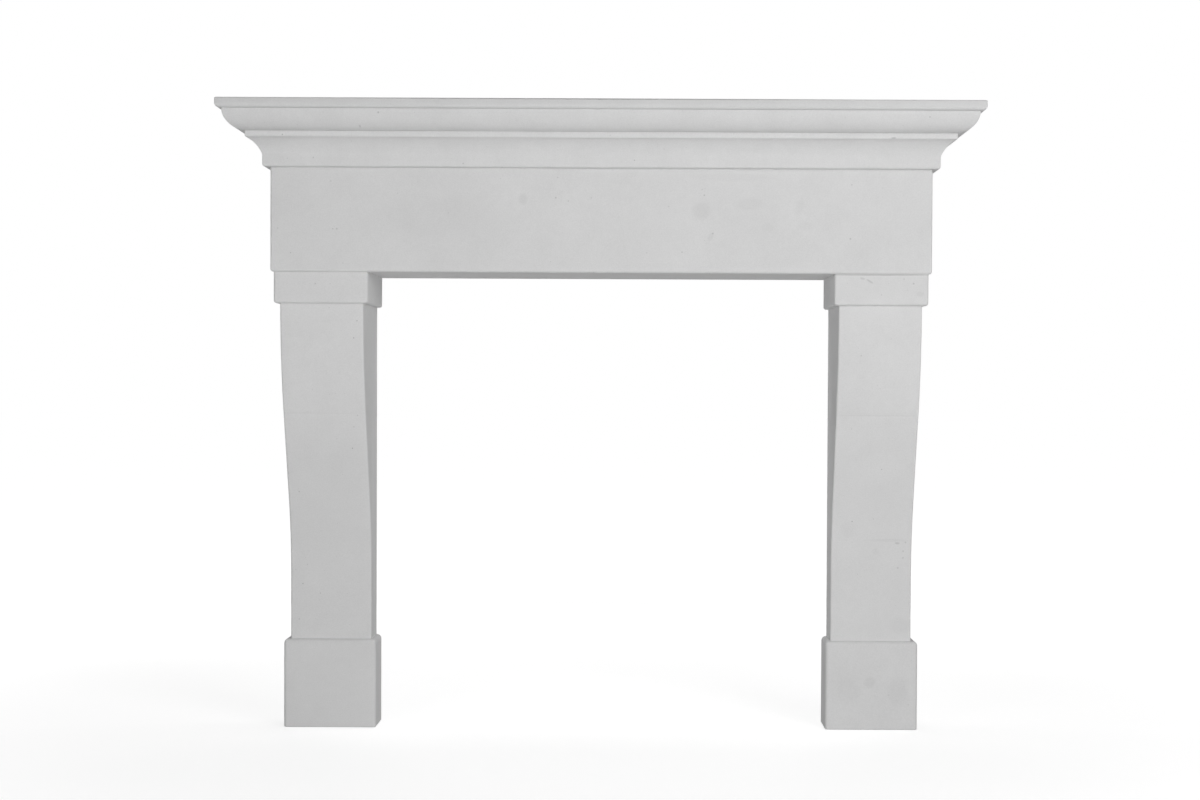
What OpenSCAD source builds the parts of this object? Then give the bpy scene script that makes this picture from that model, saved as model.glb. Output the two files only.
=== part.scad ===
// Fireplace mantelpiece in cast stone: two legs with capital and plinth, a plain frieze
// across them and a moulded shelf on top.
// Millimetres. X to the right, Y into the wall, Z up. The wall is the plane y = 0 and the
// origin is the middle of the frieze's back, where the surround is fixed to the wall.
// Heights in this source run from the hearth; the last step drops them to the origin.

/* [Opening] */

// Clear width of the fireplace opening between the two plinths
opening_width = 1067; // [900:1:1300]

// Clear height of the opening, hearth to the underside of the frieze
opening_height = 1072; // [900:1:1250]

/* [Plinths] */

// How far a plinth stands out past the shaft's outer side
plinth_side_step = 15.2; // [8:0.1:30]

// How far a plinth stands out past the front of the shaft's foot
plinth_front_step = 9.5; // [6:0.5:25]

// Height of each plinth
plinth_height = 210.5; // [150:0.5:260]

// Rounding along the top edges of a plinth
plinth_top_round = 11; // [6:0.5:14]

// Rounding of the upright front corners of a plinth
plinth_corner_round = 8; // [3:0.5:12]

// Rounding along the bottom edges of a plinth
plinth_foot_round = 3; // [1:0.5:6]

/* [Legs] */

// Width of a leg's shaft
shaft_width = 192; // [140:1:260]

// Step back from the opening's side to the shaft's inner side
shaft_setback = 11.8; // [8:0.1:25]

// Depth of the shaft at its head, under the capital
shaft_head_depth = 205; // [140:1:280]

// Depth of the shaft at its foot, on the plinth
shaft_foot_depth = 79; // [50:0.5:120]

// Height of the straight foot of the shaft, above the plinth
shaft_straight = 150; // [80:1:200]

// Height of the convex bend under the capital
upper_bend = 246; // [150:1:300]

// Height of the concave bend above the straight foot
lower_bend = 185; // [100:1:230]

/* [Capitals] */

// How far a capital stands out past the shaft's outer side
capital_side_step = 12.7; // [7:0.1:30]

// How far a capital stands out past the front of the shaft's head
capital_front_step = 11; // [7:0.5:30]

// Height of each capital
capital_height = 71.5; // [50:0.5:100]

// Rounding along the bottom edges of a capital
capital_edge_round = 6; // [2:0.5:9]

// Rounding of the upright front corners of a capital
capital_corner_round = 6; // [2:0.5:9]

/* [Frieze] */

// How far the frieze runs past the capitals' outer sides
frieze_side_step = 6.5; // [2:0.5:30]

// How far the frieze stands out past the capitals' fronts
frieze_front_step = 5.7; // [2:0.1:30]

// Height of the frieze
frieze_height = 238; // [180:1:290]

// Rounding along the bottom edges of the frieze
frieze_edge_round = 6.5; // [2:0.5:10]

// Rounding of the upright front corners of the frieze
frieze_corner_round = 5; // [2:0.5:10]

/* [Shelf] */

// Overhang of the shelf's bottom band past the frieze
band_step = 15; // [8:0.5:22]

// Height of the bottom band
band_height = 27.5; // [20:0.5:40]

// Rounding along the bottom edge of the band
band_edge_round = 5; // [1:0.5:7]

// How far the hollow moulding comes forward from the band to its top
cove_run = 28; // [20:0.5:45]

// Height of the hollow moulding
cove_height = 34.5; // [30:0.5:42]

// Radius of the hollow moulding
cove_radius = 63; // [50:1:140]

// How far the narrow fillet over the hollow stands out past it
fillet_step = 4.5; // [1:0.1:8]

// Height of the narrow fillet
fillet_height = 14; // [8:0.5:20]

// Rounding along the fillet's bottom edge, at most its step
fillet_edge_round = 4.5; // [1:0.5:6]

// How far the round moulding comes forward from the fillet
ovolo_run = 42.5; // [30:0.5:60]

// Height of the round moulding
ovolo_height = 44; // [36:0.5:70]

// How much larger the round moulding's radius is than its height
ovolo_quirk = 0.5; // [0.2:0.1:4]

// How far the slab's edge stands out past the round moulding
slab_step = 12.7; // [6:0.1:30]

// Thickness of the shelf slab
slab_height = 22; // [16:0.5:30]

// Rounding along the slab's top edge
slab_top_round = 3; // [1:0.5:6]

// Rounding along the slab's bottom edge
slab_bottom_round = 6; // [1:0.5:7]

// Rounding of the slab's upright corners
slab_corner_round = 3; // [1:0.5:8]

/* [Hidden] */

$fn = 128;

// How far the shaft runs inside its capital and its plinth, so that a leg is one solid.
tie = 20;

// Heights from the hearth.
capital_z = opening_height - capital_height;
frieze_top = opening_height + frieze_height;
band_top = frieze_top + band_height;
cove_top = band_top + cove_height;
fillet_top = cove_top + fillet_height;
ovolo_top = fillet_top + ovolo_height;
slab_top = ovolo_top + slab_height;

// The origin's height over the hearth: half way up the frieze.
mount_height = opening_height + frieze_height / 2;

// Widths and depths, each built on what it goes round or lies on.
plinth_width = shaft_setback + shaft_width + plinth_side_step;
plinth_depth = shaft_foot_depth + plinth_front_step;
capital_width = shaft_setback + shaft_width + capital_side_step;
capital_depth = shaft_head_depth + capital_front_step;
frieze_half = opening_width / 2 + capital_width + frieze_side_step;
frieze_depth = capital_depth + frieze_front_step;

// Overhangs past the frieze, from the band up to the slab.
cove_reach = band_step + cove_run;
fillet_reach = cove_reach + fillet_step;
ovolo_reach = fillet_reach + ovolo_run;
slab_reach = ovolo_reach + slab_step;

// Places across the width, from the middle.
plinth_x = opening_width / 2 + plinth_width / 2;
capital_x = opening_width / 2 + capital_width / 2;
shaft_x = opening_width / 2 + shaft_setback + shaft_width / 2;

// The shaft's front runs down in a convex bend, a straight slope and a concave bend. The
// three meet in common tangents, which fixes the slope from the heights and the two depths.
// On a short leg the bends shorten together to fit.
straight_top = plinth_height + shaft_straight;
curved = capital_z - straight_top;
bend_fit = min(1, 0.95 * curved / (upper_bend + lower_bend));
upper_h = upper_bend * bend_fit;
lower_h = lower_bend * bend_fit;
bends = upper_h + lower_h;
sloped = curved - bends;
drop = shaft_head_depth - shaft_foot_depth;
function half_tangent(t, n) =
    n == 0 ? t : half_tangent(drop / (bends + 2 * sloped / (1 - t * t)), n - 1);
slope = 2 * atan(half_tangent(0, 12));
upper_radius = upper_h / sin(slope);
lower_radius = lower_h / sin(slope);
upper_z = capital_z - upper_h;
lower_z = straight_top + lower_h;
upper_d = shaft_head_depth - upper_radius * (1 - cos(slope));
lower_d = shaft_foot_depth + lower_radius * (1 - cos(slope));

// Centre of the hollow's circle, through the band's top edge and the hollow's top edge.
cove_chord = sqrt(cove_run * cove_run + cove_height * cove_height);
cove_back = sqrt(cove_radius * cove_radius - cove_chord * cove_chord / 4);
cove_cx = band_step + cove_run / 2 + cove_back * cove_height / cove_chord;
cove_cz = band_top + cove_height / 2 - cove_back * cove_run / cove_chord;

// The round moulding is a quarter round: its circle ends upright under the slab and, at its
// foot, is cut off by the level ledge on top of the fillet.
arc_r = ovolo_height + ovolo_quirk;
arc_x = ovolo_reach - arc_r;

// A flat section standing on z, even about the middle.
module bar(half, z0, z1) {
    translate([-half, z0]) square([2 * half, z1 - z0]);
}

// The waste outside one rounded corner; sx and sz point outwards.
module waste(x, z, sx, sz, r) {
    translate([x - sx * r, z - sz * r])
        difference() {
            scale([sx, sz]) square(r + 1);
            circle(r);
        }
}

// A bar with its bottom corners rounded to low and its top corners to high.
module soft_bar(half, z0, z1, low, high) {
    difference() {
        bar(half, z0, z1);
        for (s = [-1, 1]) {
            if (low > 0) waste(s * half, z0, s, -1, low);
            if (high > 0) waste(s * half, z1, s, 1, high);
        }
    }
}

// A section drawn on y and z, run along X.
module along_x(length) {
    rotate([90, 0, 90]) linear_extrude(height = length, center = true) children();
}

// A section drawn on x and z, run from the wall to the front.
module along_y(length) {
    rotate([90, 0, 0]) linear_extrude(height = length) children();
}

// A block against the wall: the same section from the front and from the side, and rounded
// upright front corners.
module block(half, depth, z0, z1, low, high, corner) {
    intersection() {
        along_y(depth + 10) soft_bar(half, z0, z1, low, high);
        along_x(2 * half + 20) soft_bar(depth, z0, z1, low, high);
        translate([0, 0, z0 - 5])
            linear_extrude(height = z1 - z0 + 10) soft_bar(half, -depth, depth, corner, 0);
    }
}

// The shelf's mouldings, even about the middle; half is the frieze's reach. The core runs up
// inside the slab, so that the shelf is one solid.
module moulding(half) {
    soft_bar(half + band_step, frieze_top, band_top, band_edge_round, 0);
    difference() {
        bar(half + cove_reach, band_top, cove_top);
        for (s = [-1, 1])
            translate([s * (half + cove_cx), cove_cz]) circle(cove_radius);
    }
    soft_bar(half + fillet_reach, cove_top, fillet_top,
        min(fillet_edge_round, fillet_step), 0);
    bar(half + arc_x, fillet_top, ovolo_top + slab_height / 2);
    for (s = [-1, 1])
        intersection() {
            translate([s * (half + arc_x), ovolo_top]) circle(arc_r);
            bar(half + ovolo_reach + 10, fillet_top, ovolo_top);
        }
}

// The shaft's section from the wall (0) to its front, drawn with the front to the left.
module shaft_section() {
    mirror([1, 0]) {
        translate([0, capital_z]) square([shaft_head_depth, tie]);
        intersection() {
            translate([0, upper_z]) square([shaft_head_depth, upper_h]);
            translate([shaft_head_depth - upper_radius, capital_z]) circle(upper_radius);
        }
        polygon([[0, lower_z], [lower_d, lower_z], [upper_d, upper_z], [0, upper_z]]);
        difference() {
            translate([0, straight_top]) square([lower_d, lower_h]);
            translate([shaft_foot_depth + lower_radius, straight_top]) circle(lower_radius);
        }
        translate([0, plinth_height - tie])
            square([shaft_foot_depth, shaft_straight + tie]);
    }
}

// One leg, on the right of the opening: plinth, curved shaft and capital in one casting.
module leg() {
    translate([plinth_x, 0, 0])
        block(plinth_width / 2, plinth_depth, 0, plinth_height,
            plinth_foot_round, plinth_top_round, plinth_corner_round);
    translate([shaft_x, 0, 0]) along_x(shaft_width) shaft_section();
    translate([capital_x, 0, 0])
        block(capital_width / 2, capital_depth, capital_z, opening_height,
            capital_edge_round, 0, capital_corner_round);
}

module right_leg() {
    color("#d2d1cf") translate([0, 0, -mount_height]) leg();
}

module left_leg() {
    color("#c8c7c5") translate([0, 0, -mount_height]) mirror([1, 0, 0]) leg();
}

module frieze() {
    color("#d8d7d5") translate([0, 0, -mount_height])
        block(frieze_half, frieze_depth, opening_height, frieze_top,
            frieze_edge_round, 0, frieze_corner_round);
}

// The moulded shelf: the mouldings meet in mitres at the two front corners.
module shelf() {
    color("#cfcecc") translate([0, 0, -mount_height]) {
        intersection() {
            along_y(frieze_depth + slab_reach) moulding(frieze_half);
            along_x(2 * (frieze_half + slab_reach)) moulding(frieze_depth);
        }
        block(frieze_half + slab_reach, frieze_depth + slab_reach, ovolo_top, slab_top,
            slab_bottom_round, slab_top_round, slab_corner_round);
    }
}

shelf();
frieze();
left_leg();
right_leg();
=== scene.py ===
# %% [markdown]
# # A cast stone fireplace mantelpiece
# The surround is four plain castings of pale stone: two curved legs, a flat frieze that
# lies across them and a moulded shelf on top. The exact solids come from the packed
# frame, and each casting replaces one of them in the same place. This lesson gives each
# casting its eased edges, its slightly uneven hand-finished faces and its stone.

# %% Load the frame
import math

import bpy
import numpy as np
from mathutils import Matrix, Vector


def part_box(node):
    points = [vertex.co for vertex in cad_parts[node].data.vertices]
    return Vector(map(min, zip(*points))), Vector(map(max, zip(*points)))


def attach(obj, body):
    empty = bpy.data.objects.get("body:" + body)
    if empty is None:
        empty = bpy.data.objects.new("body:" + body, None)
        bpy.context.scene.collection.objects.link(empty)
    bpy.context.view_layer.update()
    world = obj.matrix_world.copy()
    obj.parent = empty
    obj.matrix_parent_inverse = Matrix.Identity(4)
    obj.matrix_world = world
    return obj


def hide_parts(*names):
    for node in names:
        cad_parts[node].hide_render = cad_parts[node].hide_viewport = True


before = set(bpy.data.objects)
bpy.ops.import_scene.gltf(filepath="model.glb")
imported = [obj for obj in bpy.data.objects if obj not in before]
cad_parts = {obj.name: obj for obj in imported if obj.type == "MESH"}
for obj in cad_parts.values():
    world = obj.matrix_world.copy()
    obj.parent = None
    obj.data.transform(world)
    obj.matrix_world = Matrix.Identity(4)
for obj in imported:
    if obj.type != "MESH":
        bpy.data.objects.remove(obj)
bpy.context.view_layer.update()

MM = 0.001
print("nodes:", sorted(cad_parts))

# %% [markdown]
# ## Sizes
# The castings' own boxes give the places where they meet. What a box can't tell is
# named beside each casting: how much an edge is eased, how far each moulding stands out
# and how the legs curve. Sizes are millimetres, because masons' drawings are. Heights
# run from the hearth, and a moulding's run from the top of the frieze.

# %% Read where the castings meet
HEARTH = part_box("right_leg")[0].z / MM


def box_mm(node_name):
    """A node's lowest and highest corners in millimetres, with heights from the hearth."""
    low, high = (np.array(corner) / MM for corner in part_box(node_name))
    return low - [0, 0, HEARTH], high - [0, 0, HEARTH]


leg_low, leg_high = box_mm("right_leg")
frieze_low, frieze_high = box_mm("frieze")
shelf_low, shelf_high = box_mm("shelf")
OPENING_HALF = leg_low[0]
FRIEZE_HALF, FRIEZE_DEPTH = frieze_high[0], -frieze_low[1]
print("opening", 2 * OPENING_HALF, "x", leg_high[2], "mm; shelf top", shelf_high[2], "mm")

# %% [markdown]
# ## One function for all four castings
# Cut level at any height, each casting is a rectangle with its back on the wall and its
# two front corners eased. So a casting is a stack of such plans, and only their left,
# right, depth and corner change with height. A box with a Bevel modifier could make the
# frieze, but not a curved leg or a mitred moulding whose corners stay even. A stack of
# plans makes them all.
#
# Every plan has the same points, so each point is a fixed weighted sum of the plan's
# sizes. One product of two arrays then gives all the points at all the heights.

# %% The plan as weights on its sizes
CORNER_STEPS = 8


def plan_weights(across, deep):
    """Rows of weights that turn a plan's sizes into points, and the outward directions.

    Along x a point is left, right and corner, each times its weight, added up. Along y
    it is depth and corner times theirs, taken away from the wall. The points run along
    the wall from left to right, forward along the right side, round the eased corner by
    cosine and sine, back along the front, round the other corner, and home.
    """
    wall = np.arange(across + CORNER_STEPS) / (across + CORNER_STEPS)
    side = np.arange(deep) / deep
    front = np.arange(across) / across
    turn = np.arange(CORNER_STEPS) / CORNER_STEPS * math.pi / 2
    cos, sin = np.cos(turn), np.sin(turn)
    runs = [
        # x: left, right, corner; y: depth, corner; outward x, outward y
        (1 - wall, wall, 0, 0, 0, 0, 0),
        (0, 1, 0, side, -side, 1, 0),
        (0, 1, cos - 1, 1, sin - 1, cos, -sin),
        (front, 1 - front, 2 * front - 1, 1, 0, 0, -1),
        (1, 0, 1 - sin, 1, cos - 1, -sin, -cos),
        (1, 0, 0, 1 - side, side - 1, -1, 0),
    ]
    return np.hstack([np.stack(np.broadcast_arrays(*run)) for run in runs])


print("a small plan has", plan_weights(4, 3).shape[1], "points")

# %% [markdown]
# ## Uneven faces
# A rubbed stone face is never quite flat: it wanders by about a third of a millimetre
# from end to end, and the light shows it. Displacing the mesh with a texture could do
# it, but a few sine waves in the same arrays need no modifier and stay exact.

# %% The uneven face of a hand-finished casting
WAVE_MM = 0.35  # how far a face wanders, always inwards
WAVES = ((420, 1.0), (230, 0.7), (95, 0.3), (38, 0.16))  # length in mm, share
WAVES_EACH = 3
PHASE_SPAN = 6.3  # radians, about a full turn


def unevenness(x, y, z, seed):
    """0 to 1: waves of a few lengths and directions, added and scaled to that range.

    Each wave is the sine of a full turn for each length along its direction, and
    starts at random.
    """
    draw = np.random.default_rng(seed)
    total = np.zeros_like(x)
    for length, share in WAVES:
        for _ in range(WAVES_EACH):
            way = draw.normal(size=3)
            way /= np.linalg.norm(way)
            along = x * way[0] + y * way[1] + z * way[2]
            total += share * np.sin(2 * math.pi * along / length + draw.uniform(0, PHASE_SPAN))
    return (total - total.min()) / (total.max() - total.min())


print("waves", [length for length, _ in WAVES], "mm long,", WAVE_MM, "mm deep")

# %% [markdown]
# ## Closed ends
# Each casting is closed above and below. One big face would do for a flat end, but it
# shades badly beside small ones. So a grid is stretched over the end's own outline.

# %% A sheet over an end
def end_sheet(points, ring, across, deep, first_new):
    """A grid over one outline: its index grid and its new inner points.

    Each inner point is the blend of the two long edges, plus the blend of the two short
    edges, less the blend of the four corners (a Coons patch).
    """
    columns, rows = across + CORNER_STEPS, deep + CORNER_STEPS // 2
    grid = np.zeros((columns + 1, rows + 1), int)
    grid[:, 0] = ring[:columns + 1]
    grid[-1, :] = ring[columns:columns + rows + 1]
    grid[:, -1] = ring[columns + rows:2 * columns + rows + 1][::-1]
    grid[0, :] = np.append(ring[2 * columns + rows:], ring[0])[::-1]
    u = (np.arange(columns + 1) / columns)[:, None, None]
    v = (np.arange(rows + 1) / rows)[None, :, None]
    edge = points[grid]
    wall, front, left, right = edge[:, :1], edge[:, -1:], edge[:1], edge[-1:]
    blend = (
        (1 - v) * wall + v * front + (1 - u) * left + u * right
        - (1 - u) * (1 - v) * edge[:1, :1] - u * (1 - v) * edge[-1:, :1]
        - (1 - u) * v * edge[:1, -1:] - u * v * edge[-1:, -1:]
    )
    inner = blend[1:-1, 1:-1]
    count = inner.shape[0] * inner.shape[1]
    grid[1:-1, 1:-1] = first_new + np.arange(count).reshape(inner.shape[:2])
    return grid, inner.reshape(-1, 3)


def grid_quads(grid):
    """One quad for each cell of an index grid."""
    corners = [grid[:-1, :-1], grid[:-1, 1:], grid[1:, 1:], grid[1:, :-1]]
    return np.stack(corners, axis=-1).reshape(-1, 4)


print("a grid of 3 x 3 points has", len(grid_quads(np.arange(9).reshape(3, 3))), "quads")

# %% Put arrays into a mesh
CREASE_DEGREES = 28


def mesh_object(name, points_mm, faces):
    """Puts whole arrays of points and quads into a smooth mesh with crisp creases."""
    mesh = bpy.data.meshes.new(name)
    placed = (points_mm + [0, 0, HEARTH]) * MM
    mesh.vertices.add(len(placed))
    mesh.vertices.foreach_set("co", placed.astype(np.float32).ravel())
    mesh.loops.add(faces.size)
    mesh.loops.foreach_set("vertex_index", faces.astype(np.int32).ravel())
    mesh.polygons.add(len(faces))
    mesh.polygons.foreach_set("loop_start", np.arange(0, faces.size, 4, dtype=np.int32))
    mesh.update(calc_edges=True)
    mesh.polygons.foreach_set("use_smooth", np.ones(len(faces), bool))
    mesh.set_sharp_from_angle(angle=math.radians(CREASE_DEGREES))
    piece = bpy.data.objects.new(name, mesh)
    bpy.context.scene.collection.objects.link(piece)
    print(name, len(placed), "points,", 2 * len(faces), "triangles")
    return piece


print("edges sharper than", CREASE_DEGREES, "degrees stay crisp")

# %% Stack the plans into a closed casting
WALL_CLEAR = 10.0  # mm from the wall over which the wander dies away
LEDGE_RISE, SAME_HEIGHT = 0.05, 0.01  # mm


def casting(name, levels, across, deep, seed):
    """A closed casting from its levels: rows of height, left, right, depth, corner.

    Quads join each plan to the next one up, and a sheet closes each end. A ledge's two
    levels share a height, so the upper one is raised by a hair, or the flat back would
    get faces of no area.
    """
    z, left, right, depth, corner = np.asarray(levels, float).T[..., None]
    z = z + LEDGE_RISE * (np.diff(z, axis=0, prepend=-1) < SAME_HEIGHT)
    on_left, on_right, corner_x, on_depth, corner_y, out_x, out_y = plan_weights(
        across, deep)
    x = left * on_left + right * on_right + corner * corner_x
    y = -(depth * on_depth + corner * corner_y)
    height = z * np.ones_like(x)
    inward = WAVE_MM * unevenness(x, y, height, seed) * np.clip(-y / WALL_CLEAR, 0, 1)
    x -= inward * out_x
    y -= inward * out_y
    points = np.stack([x, y, height], axis=-1).reshape(-1, 3)
    index = np.arange(x.size).reshape(x.shape)
    ring_pairs = np.hstack([index, index[:, :1]])
    walls = grid_quads(ring_pairs)[:, [0, 3, 2, 1]]
    top, top_points = end_sheet(points, index[-1], across, deep, len(points))
    foot, foot_points = end_sheet(
        points, index[0], across, deep, len(points) + len(top_points))
    points = np.vstack([points, top_points, foot_points])
    faces = np.vstack([walls, grid_quads(top), grid_quads(foot)[:, ::-1]])
    return mesh_object(name, points, faces)


print("the wander dies away over the last", WALL_CLEAR, "mm to the wall")

# %% [markdown]
# ## Runs of levels
# A mason eases every edge with a rub stone, so that it doesn't chip. An eased edge is a
# quarter circle of levels, and a flat face is an upright run of levels about a
# centimetre apart, which lets the face wander a little.

# %% Easings and upright runs
STEP = 9.0  # mm between levels on a flat face
EASING_LEVELS = 8
quarter = np.linspace(0, math.pi / 2, EASING_LEVELS)


def upright(low, high):
    """Heights from low to high, ends included, about STEP apart."""
    return np.linspace(low, high, max(2, int((high - low) / STEP) + 1))


def block_levels(low, high, ease_low, ease_high=0.0):
    """Heights and insets of a block: quarter circle, upright run, quarter circle.

    In a quarter circle the height rises as 1 - cosine while the inset falls as
    1 - sine, both times the easing. A square upper edge is a single level.
    """
    last = quarter[::-1] if ease_high else quarter[-1:]
    z = [low + ease_low * (1 - np.cos(quarter)),
         upright(low + ease_low, high - ease_high)[1:-1],
         high - ease_high * (1 - np.cos(last))]
    inset = [ease_low * (1 - np.sin(quarter)),
             np.zeros(len(z[1])),
             ease_high * (1 - np.sin(last))]
    return np.concatenate(z), np.concatenate(inset)


print("a 100 mm block with a 5 mm easing has", len(block_levels(0, 100, 5)[0]), "levels")

# %% [markdown]
# ## The frieze
# A plain slab of stone on its edge. Its lower edge is well eased, because hands and
# tools pass under it, and its upper edge is square where the shelf beds on it.

# %% Make the frieze
FRIEZE_EASE, FRIEZE_CORNER = 6.5, 5.0

z, inset = block_levels(frieze_low[2], frieze_high[2], FRIEZE_EASE)
frieze = casting(
    "frieze_casting",
    np.stack([z, -FRIEZE_HALF + inset, FRIEZE_HALF - inset, FRIEZE_DEPTH - inset,
              np.full_like(z, FRIEZE_CORNER)], axis=1),
    across=150, deep=22, seed=11)

# %% [markdown]
# ## The shelf
# From the frieze up, the shelf is a bottom band, a shallow hollow, a narrow fillet, a
# round moulding and the slab. All of it was run in one mould with mitred corners. The
# mitre comes free here: every level is a rectangle, so the side profile is the front
# profile. The path below gives height and reach past the frieze, from the bottom up.

# %% The moulding's hollow and round
BAND_REACH, BAND_TOP, BAND_EASE = 15.0, 27.5, 5.0
HOLLOW_REACH, HOLLOW_TOP, HOLLOW_RADIUS = 43.0, 62.0, 63.0
HOLLOW_LEVELS, ROUND_LEVELS = 14, 22
FILLET_REACH, FILLET_TOP, FILLET_EASE = 47.5, 76.0, 4.5
ROUND_REACH, ROUND_TOP, ROUND_RADIUS = 90.0, 120.0, 44.5


def hollow():
    """Points on the hollow's circle between the band's top and the fillet.

    The centre lies on the square-off line through the middle of the chord, at the
    distance that the radius and half the chord give by Pythagoras.
    """
    start = np.array([BAND_TOP, BAND_REACH])
    stop = np.array([HOLLOW_TOP, HOLLOW_REACH])
    chord = stop - start
    length = np.hypot(*chord)
    away = math.sqrt(HOLLOW_RADIUS ** 2 - length ** 2 / 4)
    centre = (start + stop) / 2 + away * np.array([-chord[1], chord[0]]) / length
    angles = np.linspace(
        math.atan2(*(start - centre)[::-1]), math.atan2(*(stop - centre)[::-1]),
        HOLLOW_LEVELS)
    return centre + HOLLOW_RADIUS * np.stack([np.cos(angles), np.sin(angles)], axis=1)


def round_moulding():
    """Nearly a quarter round, from the ledge on the fillet to upright under the slab.

    The circle's centre is level with the slab's underside. The angle from straight down
    starts where the circle meets the ledge: its cosine is the height over the radius.
    """
    start = math.acos((ROUND_TOP - FILLET_TOP) / ROUND_RADIUS)
    angles = np.linspace(start, math.pi / 2, ROUND_LEVELS)
    centre = np.array([ROUND_TOP, ROUND_REACH - ROUND_RADIUS])
    return centre + ROUND_RADIUS * np.stack([-np.cos(angles), np.sin(angles)], axis=1)


print("hollow ends", hollow()[[0, -1]].round(1))
print("round ends", round_moulding()[[0, -1]].round(1))

# %% Join the moulding's path
SLAB_REACH, SLAB_TOP = 102.7, 142.0
SLAB_EASE_LOW, SLAB_EASE_TOP = 8.5, 3.0
SLAB_CORNER, MOULDING_CORNER = 3.0, 2.0


def quarter_path(height, reach, ease, upper):
    """A quarter circle at the height and reach of a sharp edge: lower or upper edge."""
    turn = quarter if not upper else quarter[::-1]
    rise, pull = ease * (1 - np.cos(turn)), ease * (1 - np.sin(turn))
    return np.stack([height - rise if upper else height + rise, reach - pull], axis=1)


def upright_path(low, high, reach):
    """An upright face: levels at one reach."""
    heights = upright(low, high)
    return np.stack([heights, np.full_like(heights, reach)], axis=1)


path = np.vstack([
    quarter_path(0, BAND_REACH, BAND_EASE, upper=False),
    upright_path(BAND_EASE, BAND_TOP, BAND_REACH)[1:-1],
    hollow(),
    quarter_path(HOLLOW_TOP, FILLET_REACH, FILLET_EASE, upper=False)[1:],
    upright_path(HOLLOW_TOP + FILLET_EASE, FILLET_TOP, FILLET_REACH)[1:],
    round_moulding(),
    quarter_path(ROUND_TOP, SLAB_REACH, SLAB_EASE_LOW, upper=False),
    upright_path(ROUND_TOP + SLAB_EASE_LOW, SLAB_TOP - SLAB_EASE_TOP, SLAB_REACH)[1:-1],
    quarter_path(SLAB_TOP, SLAB_REACH, SLAB_EASE_TOP, upper=True),
])
print("the path has", len(path), "levels over", SLAB_TOP, "mm")

# %% Make the shelf
z, reach = path[:, 0] + shelf_low[2], path[:, 1]
corner = np.where(path[:, 0] > ROUND_TOP, SLAB_CORNER, MOULDING_CORNER)
shelf = casting(
    "shelf_casting",
    np.stack([z, -FRIEZE_HALF - reach, FRIEZE_HALF + reach, FRIEZE_DEPTH + reach,
              corner], axis=1),
    across=170, deep=30, seed=23)

# %% [markdown]
# ## The legs
# Each leg is one casting: a plinth, a shaft whose front sweeps back from under the
# capital to a thin foot, and the capital. The sweep is a convex bend, a straight slope
# and a hollow bend that share their tangents. At each height the plan is the larger of
# the plinth, the shaft and the capital, so the plinth's eased top runs into the shaft
# as it does in the mould. A faint line crosses the front just below the bend's end, such
# as two strips of a mould's face would leave.

# %% The shaft's sweep
PLINTH_TOP, PLINTH_EASE, PLINTH_FOOT, PLINTH_CORNER = 210.5, 11.0, 3.0, 8.0
PLINTH_DEPTH = 88.5
SHAFT_SETBACK, SHAFT_WIDTH, SHAFT_CORNER = 11.8, 192.0, 4.5
SHAFT_HEAD, SHAFT_FOOT, STRAIGHT, UPPER_BEND, LOWER_BEND = 205.0, 79.0, 150.0, 246.0, 185.0
CAPITAL_HEIGHT = 71.5
CAPITAL_LOW = leg_high[2] - CAPITAL_HEIGHT
CAPITAL_WIDTH, CAPITAL_EASE, CAPITAL_CORNER = 216.5, 6.0, 6.0
LEG_WIDTH, LEG_DEPTH = leg_high[0] - leg_low[0], -leg_low[1]
ANGLE_REPEATS = 12


def sweep(height):
    """The shaft's depth at each height.

    The slope's angle is found by repeating: the tangent of half of it is the drop over
    a sum, which is the bends' height plus twice the slope's height over one less that
    tangent squared. Each bend's radius is its height over the sine of the angle.
    """
    low, drop = PLINTH_TOP + STRAIGHT, SHAFT_HEAD - SHAFT_FOOT
    bends = UPPER_BEND + LOWER_BEND
    straight = CAPITAL_LOW - low - bends
    half = 0.0
    for _ in range(ANGLE_REPEATS):
        half = drop / (bends + 2 * straight / (1 - half * half))
    angle = 2 * math.atan(half)
    upper, lower = UPPER_BEND / math.sin(angle), LOWER_BEND / math.sin(angle)
    down = np.clip(CAPITAL_LOW - height, 0, UPPER_BEND)
    rise = np.clip(height - low, 0, LOWER_BEND)
    upper_depth = SHAFT_HEAD - upper + np.sqrt(upper ** 2 - down ** 2)
    lower_depth = SHAFT_FOOT + lower - np.sqrt(lower ** 2 - rise ** 2)
    slope_depth = lower_depth + (height - low - LOWER_BEND) * math.tan(angle)
    return np.where(height > CAPITAL_LOW - UPPER_BEND, upper_depth,
                    np.where(height < low + LOWER_BEND, lower_depth, slope_depth))


print("depths at head, middle and foot", sweep(np.array([CAPITAL_LOW, 650, 300])).round(1))

# %% The leg's levels
SEAM_BELOW_BEND, SEAM_DEPTH, SEAM_HALF = 7, 0.35, 1.3
SEAM_HEIGHT = CAPITAL_LOW - UPPER_BEND - SEAM_BELOW_BEND


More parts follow.
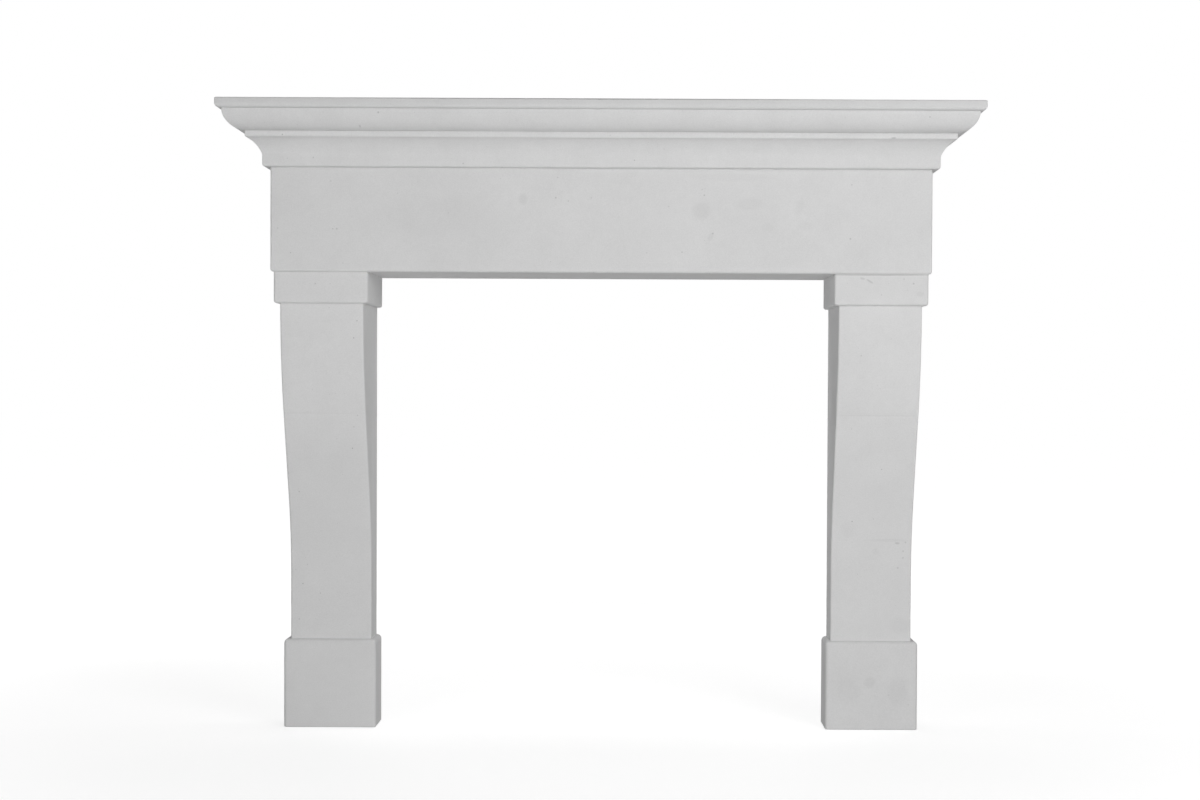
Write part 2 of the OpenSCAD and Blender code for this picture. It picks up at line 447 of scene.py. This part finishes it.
def leg_levels():
    """Rows of height, inner side, outer side, depth and corner, from hearth to frieze."""
    inner_shaft = OPENING_HALF + SHAFT_SETBACK
    outer_shaft = inner_shaft + SHAFT_WIDTH
    z, inset = block_levels(0, PLINTH_TOP, PLINTH_FOOT, PLINTH_EASE)
    in_shaft = z > PLINTH_TOP - PLINTH_EASE
    plinth = np.stack([
        z,
        np.minimum(OPENING_HALF + inset, inner_shaft),
        np.maximum(OPENING_HALF + LEG_WIDTH - inset, outer_shaft),
        np.maximum(PLINTH_DEPTH - inset, np.where(in_shaft, SHAFT_FOOT, 0)),
        np.maximum(PLINTH_CORNER - inset, SHAFT_CORNER),
    ], axis=1)
    z = upright(PLINTH_TOP, CAPITAL_LOW)
    seam = SEAM_HEIGHT + SEAM_HALF * np.array([-1, 0, 1])
    z = np.sort(np.append(z[np.abs(z - SEAM_HEIGHT) > 2 * SEAM_HALF], seam))
    groove = SEAM_DEPTH * np.clip(1 - np.abs(z - SEAM_HEIGHT) / SEAM_HALF, 0, 1)
    shaft = np.stack([
        z, np.full_like(z, inner_shaft), np.full_like(z, outer_shaft),
        sweep(z) - groove, np.full_like(z, SHAFT_CORNER),
    ], axis=1)
    z, inset = block_levels(CAPITAL_LOW, leg_high[2], CAPITAL_EASE)
    capital = np.stack([
        z, OPENING_HALF + inset, OPENING_HALF + CAPITAL_WIDTH - inset,
        LEG_DEPTH - inset, np.full_like(z, CAPITAL_CORNER),
    ], axis=1)
    return np.vstack([plinth, shaft, capital])


print("a leg has", len(leg_levels()), "levels")

# %% Make both legs
right_levels = leg_levels()
left_levels = right_levels[:, [0, 2, 1, 3, 4]] * [1, -1, -1, 1, 1]
right_leg = casting("right_leg_casting", right_levels, across=24, deep=24, seed=37)
left_leg = casting("left_leg_casting", left_levels, across=24, deep=24, seed=41)

# %% [markdown]
# ## Cast stone
# Cast stone is crushed limestone or sand bound with white cement and rammed or poured
# into a mould. Its skin is matt and even, with faint clouds where the mix was wetter, a
# fine sandy grain, and a few pinholes left by air against the mould. An image texture
# would blur or repeat at this size, so the shader builds the skin from noises, from the
# largest to the smallest, each sized in real millimetres.

# %% Colours and the one node helper
def linear(hex_colour):
    """sRGB hex to linear RGBA: below 0.04045 divide by 12.92, else the 2.4 power curve."""
    value = np.array([int(hex_colour[i:i + 2], 16) for i in (1, 3, 5)]) / 255
    line = np.where(value <= 0.04045, value / 12.92, ((value + 0.055) / 1.055) ** 2.4)
    return (*line.tolist(), 1.0)


def node(tree, kind, settings=None, **inputs):
    """Adds a node of a kind, sets its properties, and sets or links its inputs.

    An input is named by its label or, with a leading underscore, by its number.
    """
    made = tree.nodes.new(kind)
    for key, value in (settings or {}).items():
        setattr(made, key, value)
    for key, value in inputs.items():
        socket = made.inputs[int(key[1:]) if key[0] == "_" else key.replace("_", " ")]
        if isinstance(value, bpy.types.NodeSocket):
            tree.links.new(value, socket)
        else:
            socket.default_value = value
    return made


STONE_PALE, STONE_DEEP = "#E2E2E2", "#D8D8D8"
PINHOLE_SHADE, MARK_SHADE = "#989898", "#A6A6A6"
print("pale stone in linear light", round(linear(STONE_PALE)[0], 3))

# %% Clouds, patches, flecks and grain
LAYERS = (
    # name, size in mm, detail, roughness, share of the colour
    ("cloud", 240.0, 2, 0.50, 0.7),
    ("patch", 80.0, 6, 0.66, 1.1),
    ("fleck", 14.0, 3, 0.60, 0.5),
    # real sand is under a millimetre, so its grain is drawn coarser, or it wouldn't show
    ("grain", 2.8, 2, 0.60, 1.5),
)


def layered_stone(tree, place):
    """The stone's colour and its layers, each a noise that is one half on average.

    The colour's place between deep and pale is one half, plus each noise's distance
    from one half times its share.
    """
    layers, shade = {}, 0.5
    for title, size_mm, detail, rough, share in LAYERS:
        layers[title] = node(
            tree, "ShaderNodeTexNoise", Vector=place, Scale=1 / (size_mm * MM),
            Detail=detail, Roughness=rough).outputs[0]
        part = node(tree, "ShaderNodeMath", {"operation": "MULTIPLY_ADD"},
                    _0=layers[title], _1=share, _2=-share / 2).outputs[0]
        shade = node(tree, "ShaderNodeMath", {"operation": "ADD"},
                     _0=part, _1=shade).outputs[0]
    colour = node(tree, "ShaderNodeMix", {"data_type": "RGBA"}, _0=shade,
                  _6=linear(STONE_DEEP), _7=linear(STONE_PALE)).outputs[2]
    return colour, layers


print("layers", [f"{title} {size_mm} mm" for title, size_mm, *_ in LAYERS])

# %% Pinholes and pepper
HOLES = (
    # spacing in mm, radius in mm, darkness
    (32.0, 1.6, 1.0),
    (11.0, 0.9, 0.4),
)
HOLE_CORE, HOLE_RIM = 0.5, 1.3  # in radii: dark up to the core, gone at the rim
WEAKEST, STRONGEST = 0.42, 0.95  # of the random number that each hole has


def air_holes(tree, place):
    """How dark the air holes are, and the larger ones alone for the relief.

    Each size is scattered points: its darkness within the core, fading to 0 at the rim,
    times a random strength that leaves the weakest ones out. The darker size wins.
    """
    found = []
    for spacing_mm, radius_mm, darkness in HOLES:
        points = node(tree, "ShaderNodeTexVoronoi", Vector=place,
                      Scale=1 / (spacing_mm * MM))
        size = radius_mm / spacing_mm
        near = node(tree, "ShaderNodeMapRange", {"interpolation_type": "SMOOTHSTEP"},
                    Value=points.outputs["Distance"], _1=size * HOLE_CORE,
                    _2=size * HOLE_RIM, _3=darkness, _4=0.0).outputs[0]
        strength = node(tree, "ShaderNodeMapRange", Value=points.outputs["Color"],
                        _1=WEAKEST, _2=STRONGEST).outputs[0]
        found.append(node(tree, "ShaderNodeMath", {"operation": "MULTIPLY"},
                          _0=near, _1=strength).outputs[0])
    dark = node(tree, "ShaderNodeMath", {"operation": "MAXIMUM"},
                _0=found[0], _1=found[1]).outputs[0]
    return dark, found[0]


print("air holes", [f"{2 * radius} mm every {gap} mm" for gap, radius, _ in HOLES])

# %% [markdown]
# ## Marks and painted shade
# The castings are clean, but not blank: faint damp patches, from a thumb's width to a
# forearm's length, a short scratch on one capital, dark specks where an air bubble
# opened, and a knock with crumbs below it on the right shaft. Painted shade is mixed in
# the same way: a painted shadow in the open joint under the frieze, painted shade along
# the groove of the mould's line across each shaft and along the shelf's top arris, which
# faces up away from the lights, and legs painted darker towards the hearth, where less
# light falls. They could be painted on an unwrapped map, but soft ellipsoids need no map:
# each row says where one is and how large.

# %% A mark is a soft ellipsoid
FRONT = 45.0  # how far in and out a mark on a front reaches, in mm
RAGGED = 0.9  # how much the flecks break up a mark's rim
FADE_FROM = 0.45  # where a mark starts to fade, from 0 in its middle to 1 at its rim


def on_front(depth, rows, reach=FRONT):
    """Marks at one depth. A row is across, height, half width, half height, turn, shade."""
    return [((x, -depth, z), (half_x, reach, half_z), turn, shade)
            for x, z, half_x, half_z, turn, shade in rows]


def marked(tree, place, colour, fleck, marks):
    """The colour with its marks mixed in.

    The place is moved to a mark's centre, turned, and divided by its half sizes. The
    length that is left, made ragged by the flecks, runs from 0 in the middle to 1 at
    the rim, and the mark fades out over the outer half of it.
    """
    ragged = node(tree, "ShaderNodeMath", {"operation": "MULTIPLY_ADD"},
                  _0=fleck, _1=-RAGGED, _2=1 + RAGGED / 2).outputs[0]
    for centre, halves, turn, shade in marks:
        local = node(tree, "ShaderNodeMapping", {"vector_type": "TEXTURE"}, Vector=place,
                     Location=tuple((np.array(centre) + [0, 0, HEARTH]) * MM),
                     Rotation=(0, math.radians(turn), 0),
                     Scale=tuple(np.array(halves) * MM)).outputs[0]
        away = node(tree, "ShaderNodeVectorMath", {"operation": "LENGTH"},
                    _0=local).outputs["Value"]
        rim = node(tree, "ShaderNodeMath", {"operation": "MULTIPLY"},
                   _0=away, _1=ragged).outputs[0]
        inside = node(tree, "ShaderNodeMapRange", {"interpolation_type": "SMOOTHSTEP"},
                      Value=rim, _1=FADE_FROM, _2=1.0, _3=shade, _4=0.0).outputs[0]
        colour = node(tree, "ShaderNodeMix", {"data_type": "RGBA"}, _0=inside,
                      _6=colour, _7=linear(MARK_SHADE)).outputs[2]
    return colour


print("a mark fades out over the outer half of its size")

# %% The marks on the shelf and the frieze
SHELF_MARKS = (
    # painted shade along the shelf's top arris, which faces up away from the lights
    on_front(323, [
        (-200, 1451.5, 470, 3.6, 0, 0.5), (150, 1451.5, 440, 3.6, 0, 0.5),
        (0, 1451.5, 160, 3.6, 0, 0.35)], reach=6)
    + on_front(308, [(-496, 1421, 2.8, 2.8, 0, 0.5), (733, 1416, 2.4, 2.4, 0, 0.35)])
    + on_front(290, [(-540, 1393, 3.2, 3.2, 0, 0.35)])
    + on_front(267, [(659, 1375, 8, 2.2, 0, 0.55)], reach=9)
    + on_front(236, [(-314, 1318, 2.4, 2.4, 0, 0.4), (-655, 1330, 2.4, 2.4, 0, 0.4)])
)
FRIEZE_MARKS = on_front(FRIEZE_DEPTH, [
    # damp patches
    (-179, 1240, 13, 16, 0, 0.13), (229, 1215, 27, 27, 0, 0.13),
    (337, 1230, 42, 18, 0, 0.09), (300, 1291, 120, 12, 0, 0.06),
    (453, 1225, 12, 24, 20, 0.07), (381, 1178, 20, 13, 0, 0.06),
    (467, 1181, 24, 12, 0, 0.05), (-375, 1198, 170, 60, 0, 0.05),
    (250, 1155, 7, 14, 30, 0.12),
    # specks
    (235, 1250, 2.7, 2.7, 0, 0.45), (255, 1163, 2.7, 2.7, 0, 0.45),
    (569, 1152, 2.7, 2.7, 0, 0.45), (-104, 1243, 2.7, 2.7, 0, 0.45),
    (-604, 1170, 2.7, 2.7, 0, 0.45), (230, 1263, 2.3, 2.3, 0, 0.3),
    (154, 1224, 2.3, 2.3, 0, 0.3), (-100, 1289, 2.3, 2.3, 0, 0.3),
    (-23, 1243, 2.3, 2.3, 0, 0.3), (-739, 1171, 2.3, 2.3, 0, 0.3),
    (-618, 1279, 2.3, 2.3, 0, 0.3),
])
print("marks:", len(SHELF_MARKS), "on the shelf,", len(FRIEZE_MARKS), "on the frieze")

# %% The marks on the legs
# the painted shadow of the open joint lies this far below the frieze
JOINT_SHADE_BELOW_FRIEZE = 1.2
JOINT_HEIGHT = leg_high[2] - JOINT_SHADE_BELOW_FRIEZE

LEFT_MARKS = (
    # painted shade: the shaft and plinth darker towards the hearth, where less light falls
    on_front(150, [(-643, 200, 600, 600, 0, 0.07)], reach=150)
    # painted shade along the groove of the mould's line
    + on_front(166, [(-643, SEAM_HEIGHT, 130, 2.2, 0, 0.05)])
    # painted shadow in the open joint under the frieze, and two specks on the capital
    + on_front(216, [
        (-643, JOINT_HEIGHT, 200, 2.8, 0, 0.14),
        (-654, 1045, 2.6, 2.6, 0, 0.4), (-620, 1045, 2.2, 2.2, 0, 0.25)])
    + on_front(160, [(-565, 743, 2.4, 2.4, 0, 0.35), (-575, 716, 2.4, 2.4, 0, 0.35)])
    + on_front(111, [(-711, 562, 2.6, 2.6, 0, 0.4)])
    + on_front(79, [(-717, 257, 3.0, 3.0, 0, 0.3)])
)
RIGHT_MARKS = (
    # painted shade: the shaft and plinth a little darker towards the hearth, where less light
    # falls
    on_front(150, [(643, 200, 600, 600, 0, 0.04)], reach=150)
    # painted shade along the groove of the mould's line
    + on_front(166, [(643, SEAM_HEIGHT, 130, 2.2, 0, 0.09)])
    # painted shadow in the open joint under the frieze, then the scratch on the capital, a
    # smudge and three specks
    + on_front(216, [
        (600, JOINT_HEIGHT, 200, 2.8, 0, 0.5),
        (598, 1062, 7.5, 3.2, 14, 0.30), (615, 1055.5, 12, 3.0, 30, 0.38),
        (731, 1027, 13, 9, 0, 0.12), (715, 1051, 2.6, 2.6, 0, 0.45),
        (642, 1025, 2.3, 2.3, 0, 0.3), (693, 1061, 2.3, 2.3, 0, 0.3)])
    + on_front(197, [(599, 886, 2.5, 2.5, 0, 0.35)])
    # a knock low on the shaft, crumbs below it, and damp patches
    + on_front(86, [
        (680, 451, 62, 5, 0, 0.10), (585, 475, 24, 28, 0, 0.06),
        (652, 425, 11, 11, 0, 0.07), (703, 444, 7, 3.4, 0, 0.4),
        (722, 446, 3.0, 3.0, 0, 0.35), (717, 425, 3.0, 3.0, 0, 0.35),
        (717, 409, 3.0, 3.0, 0, 0.35), (705, 385, 3.0, 3.0, 0, 0.35),
        (711, 246, 34, 26, 0, 0.08)])
    # damp patches and two specks on the plinth
    + on_front(PLINTH_DEPTH, [
        (639, 113, 17, 17, 0, 0.13), (587, 95, 38, 42, 0, 0.08),
        (706, 91, 30, 48, 0, 0.08), (684, 83, 2.6, 2.6, 0, 0.2),
        (731, 61, 2.6, 2.6, 0, 0.2)])
)
print("marks:", len(LEFT_MARKS), "on the left leg,", len(RIGHT_MARKS), "on the right")

# %% [markdown]
# ## The finished stone
# Rubbed cast stone scatters light almost evenly, so the shader is dull all over, a
# little duller where the mix was coarse. A slight bump of sand keeps the grain alive in
# raking light, and the pinholes dip. Each casting reads the same recipe from a place of
# its own, so that no cloud runs on from one casting to the next.

# %% The stone's shader
GRAIN_RELIEF_MM, RELIEF_STRENGTH = 0.4, 0.25
PATCH_LOW, PATCH_HIGH = 0.3, 0.7  # the patch noise's usual range
DULL, DULLEST = 0.78, 0.92  # roughness over that range
STONE_IOR = 1.5


def cast_stone(name, offset, marks):
    """Cast stone: matt, pale and sandy, which shows the mouldings by soft shade alone."""
    material = bpy.data.materials.new(name)
    material.use_nodes = True
    tree = material.node_tree
    tree.nodes.clear()
    place = node(tree, "ShaderNodeTexCoord").outputs["Object"]
    moved = node(tree, "ShaderNodeMapping", Vector=place, Location=offset).outputs[0]
    colour, layers = layered_stone(tree, moved)
    dark, pinholes = air_holes(tree, moved)
    colour = node(tree, "ShaderNodeMix", {"data_type": "RGBA"}, _0=dark, _6=colour,
                  _7=linear(PINHOLE_SHADE)).outputs[2]
    colour = marked(tree, place, colour, layers["fleck"], marks)
    sand = node(tree, "ShaderNodeMath", {"operation": "SUBTRACT"},
                _0=layers["grain"], _1=pinholes).outputs[0]
    relief = node(tree, "ShaderNodeBump", Strength=RELIEF_STRENGTH,
                  Distance=GRAIN_RELIEF_MM * MM, Height=sand).outputs[0]
    dullness = node(tree, "ShaderNodeMapRange", Value=layers["patch"], _1=PATCH_LOW,
                    _2=PATCH_HIGH, _3=DULL, _4=DULLEST).outputs[0]
    surface = node(tree, "ShaderNodeBsdfPrincipled", Base_Color=colour,
                   Roughness=dullness, IOR=STONE_IOR, Normal=relief)
    node(tree, "ShaderNodeOutputMaterial", Surface=surface.outputs[0])
    print(name, "with", len(marks), "marks,", len(tree.nodes), "nodes")
    return material


# %% Cast the four pieces in it
CASTINGS = (
    # node, piece, offset in metres, marks, slot
    ("shelf", shelf, (0.3, 0.1, 0.0), SHELF_MARKS, "shelf_stone"),
    ("frieze", frieze, (1.7, 0.4, 0.9), FRIEZE_MARKS, "frieze_stone"),
    ("left_leg", left_leg, (4.1, 0.2, 2.2), LEFT_MARKS, "leg_stone"),
    ("right_leg", right_leg, (6.3, 0.7, 3.5), RIGHT_MARKS, "leg_stone"),
)
for node_name, piece, offset, marks, slot in CASTINGS:
    stone = cast_stone("cast_stone_" + node_name, offset, marks)
    piece.data.materials.append(stone)
    cad_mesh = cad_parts[node_name].data
    cad_mesh.materials.clear()
    cad_mesh.materials.append(stone)
    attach(piece, "root")
    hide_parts(node_name)
print(len(CASTINGS), "castings ride on the root body")

# %% [markdown]
# ## Studio
# The surround stands on white paper in a white room. The paper and the room look white
# but give little light of their own, or the stone would lose its shade. A long low light
# in front gives about half of the light on the fronts. Two soft ones, the right one
# three times as strong as the left, shape the mouldings, and a weak one high in front
# adds a little. Three lights behind the wall line are for the back, the shelf's top, the
# undersides and the legs' inner faces, and one at each end is for the sides. Those five
# add only a few percent to the fronts.

# %% Floor and room
FLOOR_EMIT, ROOM_LIGHT = 0.047, 0.0
FLOOR_SEEN, ROOM_SEEN = 0.72, 1.0
SWEEP_NEAR, SWEEP_FAR = 1.5, 3.2  # metres over which the paper floor fades into the room
FLOOR_REACH = 40.0
PAPER, PAPER_ROUGHNESS, WHITE = "#BEBEBE", 0.95, "#FFFFFF"


def seen_or_lit(tree, lit, seen):
    """One strength where the camera looks, another where the surround gathers light."""
    camera_ray = node(tree, "ShaderNodeLightPath").outputs["Is Camera Ray"]
    return node(tree, "ShaderNodeMapRange", Value=camera_ray, _3=lit, _4=seen).outputs[0]


def white_paper_floor():
    """Matt paper: it takes the soft shadow at the plinths, and brightens with distance."""
    material = bpy.data.materials.new("white_paper_floor")
    material.use_nodes = True
    tree = material.node_tree
    tree.nodes.clear()
    place = node(tree, "ShaderNodeTexCoord").outputs["Object"]
    away = node(tree, "ShaderNodeVectorMath", {"operation": "LENGTH"},
                _0=place).outputs["Value"]
    fade = node(tree, "ShaderNodeMapRange", {"interpolation_type": "SMOOTHSTEP"},
                Value=away, _1=SWEEP_NEAR, _2=SWEEP_FAR, _3=FLOOR_SEEN,
                _4=ROOM_SEEN).outputs[0]
    surface = node(tree, "ShaderNodeBsdfPrincipled", Base_Color=linear(PAPER),
                   Roughness=PAPER_ROUGHNESS, Emission_Color=linear(WHITE),
                   Emission_Strength=seen_or_lit(tree, FLOOR_EMIT, fade))
    node(tree, "ShaderNodeOutputMaterial", Surface=surface.outputs[0])
    return material


floor_mesh = bpy.data.meshes.new("floor")
floor_corners = FLOOR_REACH * np.array([(-1, -1), (1, -1), (1, 1), (-1, 1)])
floor_mesh.from_pydata(
    [(x, y, HEARTH * MM) for x, y in floor_corners], [], [(0, 1, 2, 3)])
floor = bpy.data.objects.new("floor", floor_mesh)
bpy.context.scene.collection.objects.link(floor)
floor_mesh.materials.append(white_paper_floor())

room = bpy.data.worlds.new("white_room")
room.use_nodes = True
room.node_tree.nodes.clear()
backing = node(room.node_tree, "ShaderNodeBackground", Color=linear(WHITE),
               Strength=seen_or_lit(room.node_tree, ROOM_LIGHT, ROOM_SEEN))
node(room.node_tree, "ShaderNodeOutputWorld", Surface=backing.outputs[0])
bpy.context.scene.world = room
print("floor", 2 * FLOOR_REACH, "m across at", round(HEARTH * MM, 3), "m")

# %% Lights
LIGHTS = (
    # name, place in metres, width and height in metres, watts
    ("right_soft_light", (2.2, -2.8, 0.7), (1.8, 1.4), 39.4),
    ("left_soft_light", (-2.2, -2.8, 0.7), (1.8, 1.4), 13.1),
    ("low_soft_light", (0.0, -2.6, -1.0), (4.0, 0.6), 39.6),
    ("top_soft_light", (0.0, -2.6, 2.8), (4.0, 2.0), 7.7),
    ("back_light", (0.0, 2.2, -0.4), (3.0, 1.2), 16.7),
    ("overhead_back_light", (0.0, 1.6, 2.8), (3.0, 1.5), 10.0),
    ("shelf_top_light", (0.0, 0.3, 1.3), (2.2, 0.3), 10.0),
    ("right_side_light", (4.2, 0.4, 0.3), (2.4, 2.4), 14.0),
    ("left_side_light", (-4.2, 0.4, 0.3), (2.4, 2.4), 16.0),
)
TARGET = Vector((0, 0, -0.4))
for name, at, size, watts in LIGHTS:
    lamp = bpy.data.lights.new(name, "AREA")
    lamp.shape, lamp.energy = "RECTANGLE", watts
    lamp.size, lamp.size_y = size
    holder = bpy.data.objects.new(name, lamp)
    holder.location = at
    holder.rotation_euler = (TARGET - Vector(at)).to_track_quat("-Z", "Y").to_euler()
    holder.visible_camera = False
    bpy.context.scene.collection.objects.link(holder)
print(len(LIGHTS), "lights,", sum(watts for *_, watts in LIGHTS), "watts")

# %% [markdown]
# ## Camera
# A view from about the height of a table top, straight on, with a 50 mm lens. It looks
# down by about one degree and leans by a quarter of one. A small shift slides the frame
# without turning the camera.

# %% Place the camera
CAMERA_AT = Vector((78.3, -4033.3, 810.0 + HEARTH)) * MM
YAW, DOWN, ROLL = 0.00135, 0.01672, 0.00455  # radians
LENS_MM, SENSOR_MM = 50.0, 36.0
SHIFT_X, SHIFT_Y = -0.027, 0.013  # in frame widths
FARTHEST_SEEN = 200.0  # metres
camera_data = bpy.data.cameras.new("camera")
camera_data.lens, camera_data.sensor_width = LENS_MM, SENSOR_MM
camera_data.shift_x, camera_data.shift_y = SHIFT_X, SHIFT_Y
camera_data.clip_end = FARTHEST_SEEN
camera = bpy.data.objects.new("camera", camera_data)
aim = Vector((-math.sin(YAW) * math.cos(DOWN), math.cos(YAW) * math.cos(DOWN),
              -math.sin(DOWN)))
level = Vector((math.cos(YAW), math.sin(YAW), 0))
upward = level.cross(aim)
side_axis = level * math.cos(ROLL) + upward * math.sin(ROLL)
up_axis = upward * math.cos(ROLL) - level * math.sin(ROLL)
camera.matrix_world = Matrix.Translation(CAMERA_AT) @ Matrix(
    (side_axis, up_axis, -aim)).transposed().to_4x4()
bpy.context.scene.collection.objects.link(camera)
bpy.context.scene.camera = camera
bpy.context.scene.view_settings.view_transform = "Standard"
print("camera", round(-CAMERA_AT.y, 2), "m in front of the wall")
